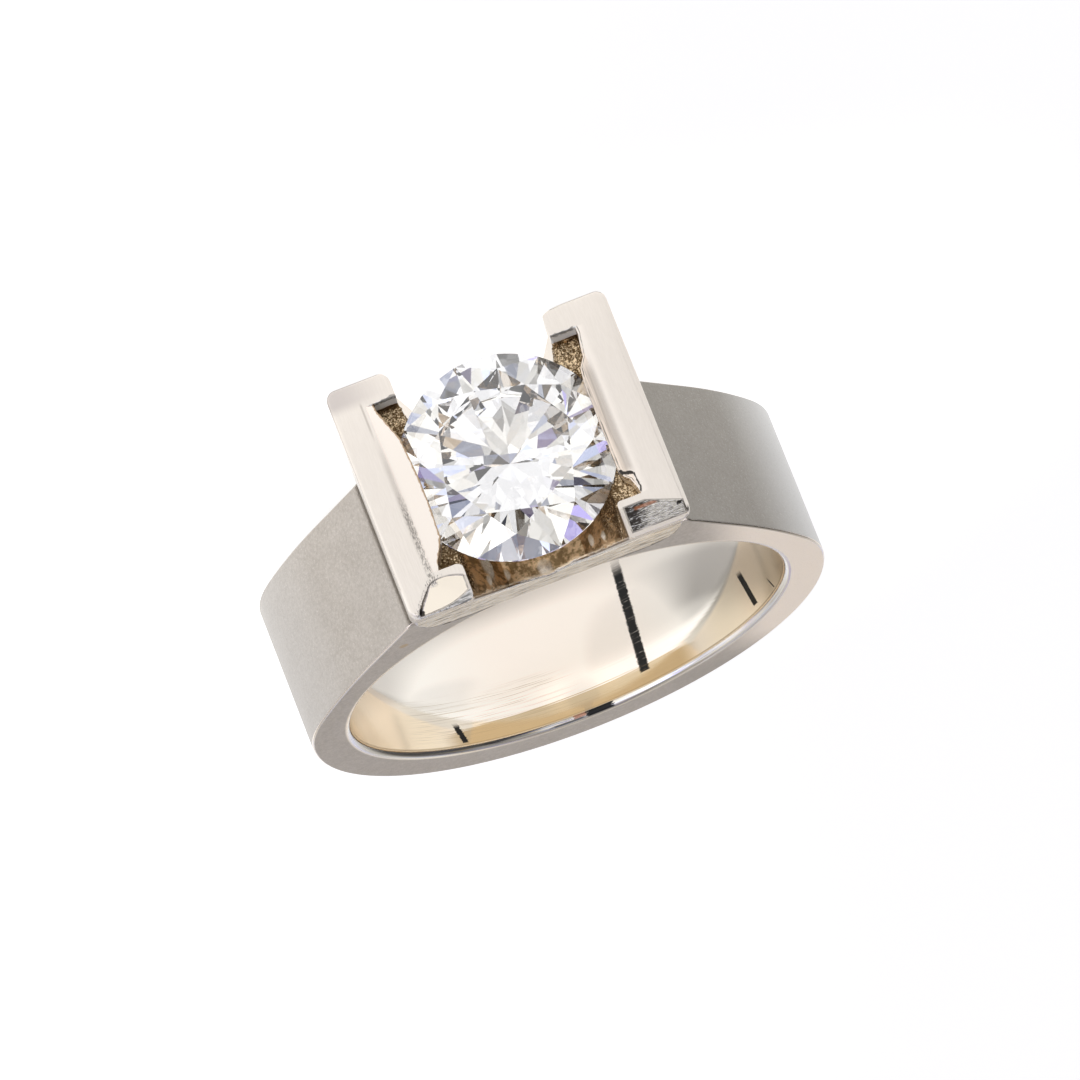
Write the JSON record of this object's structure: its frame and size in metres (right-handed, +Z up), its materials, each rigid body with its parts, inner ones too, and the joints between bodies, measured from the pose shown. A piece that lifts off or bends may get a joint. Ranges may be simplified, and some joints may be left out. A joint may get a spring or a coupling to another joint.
{
  "type": "diamond solitaire ring",
  "caption": "Wide flat-sided ring with a satin outside and a polished bore, whose open head grips a round brilliant between bracket-shaped bars.",
  "frame": {"origin": "middle of the ring's footprint, on the surface that it lies on", "axes": "+Z up and nearly along the finger, towards the fingertip; -Y from the bore's centre to the stone's table; +X across the ring"},
  "size_m": [0.0204, 0.0264, 0.0093],
  "materials": {
    "white_gold": "satin outside and on the bar tops, mirror polish in the bore and on the lips",
    "diamond": "polished facets, clear and colourless"
  },
  "bodies": {
    "root": {"gold_mount": "white_gold", "diamond": "diamond"}
  },
  "joints": []
}
